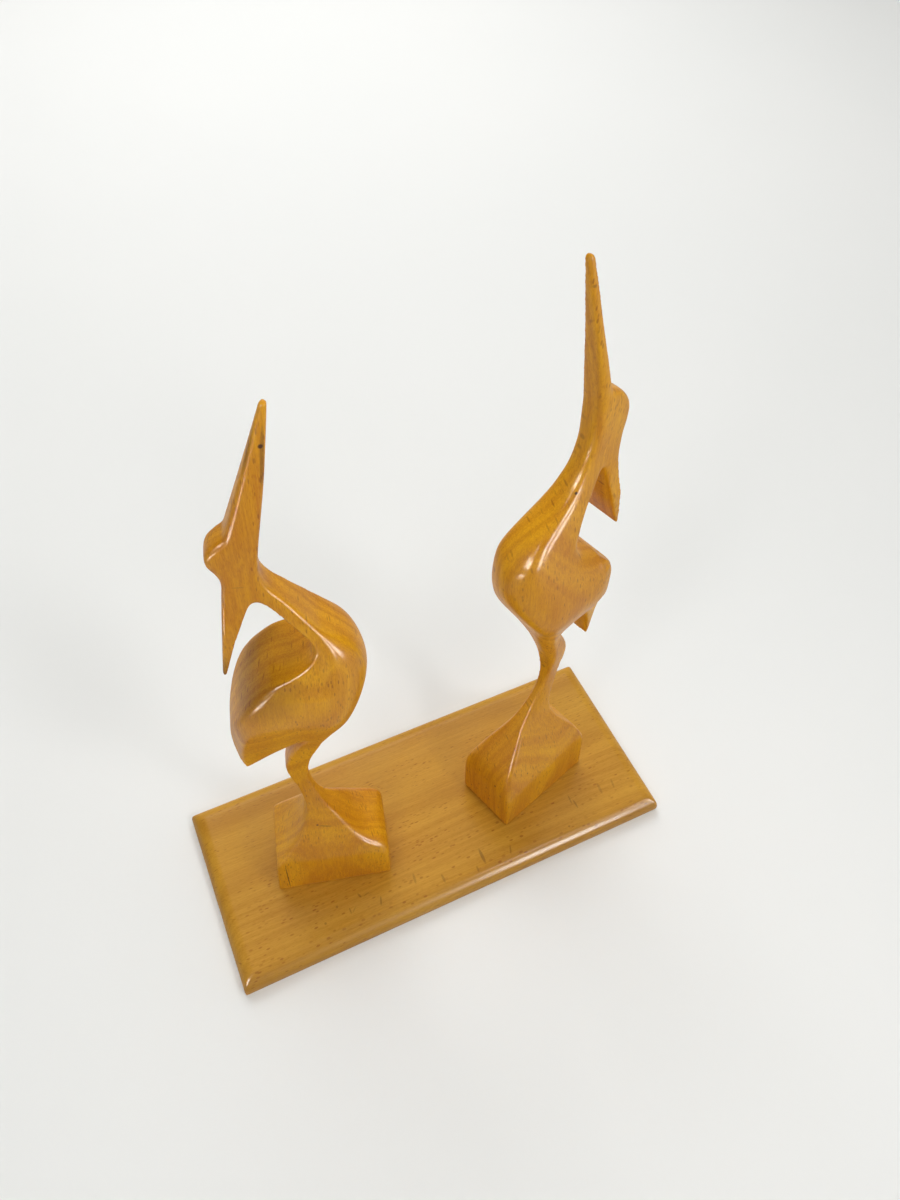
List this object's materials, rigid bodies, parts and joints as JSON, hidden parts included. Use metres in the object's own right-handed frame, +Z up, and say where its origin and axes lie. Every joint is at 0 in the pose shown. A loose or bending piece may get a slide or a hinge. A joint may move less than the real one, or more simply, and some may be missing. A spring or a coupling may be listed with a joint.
{
  "type": "crane figurine",
  "caption": "Stylised pair of wooden cranes with raised beaks and square pedestals, standing on a rectangular board with rounded upper edges.",
  "frame": {"origin": "centre of the board's underside", "axes": "+Z up, +X along the board from the shorter crane to the taller crane, +Y to the board's back edge"},
  "size_m": [0.248, 0.105, 0.3487],
  "materials": {
    "board_wood": "clear semi-gloss lacquer over beech",
    "crane_wood": "clear semi-gloss lacquer over sanded beech"
  },
  "bodies": {
    "root": {"base_board": "board_wood", "shorter_crane": "crane_wood", "taller_crane": "crane_wood"}
  },
  "joints": []
}
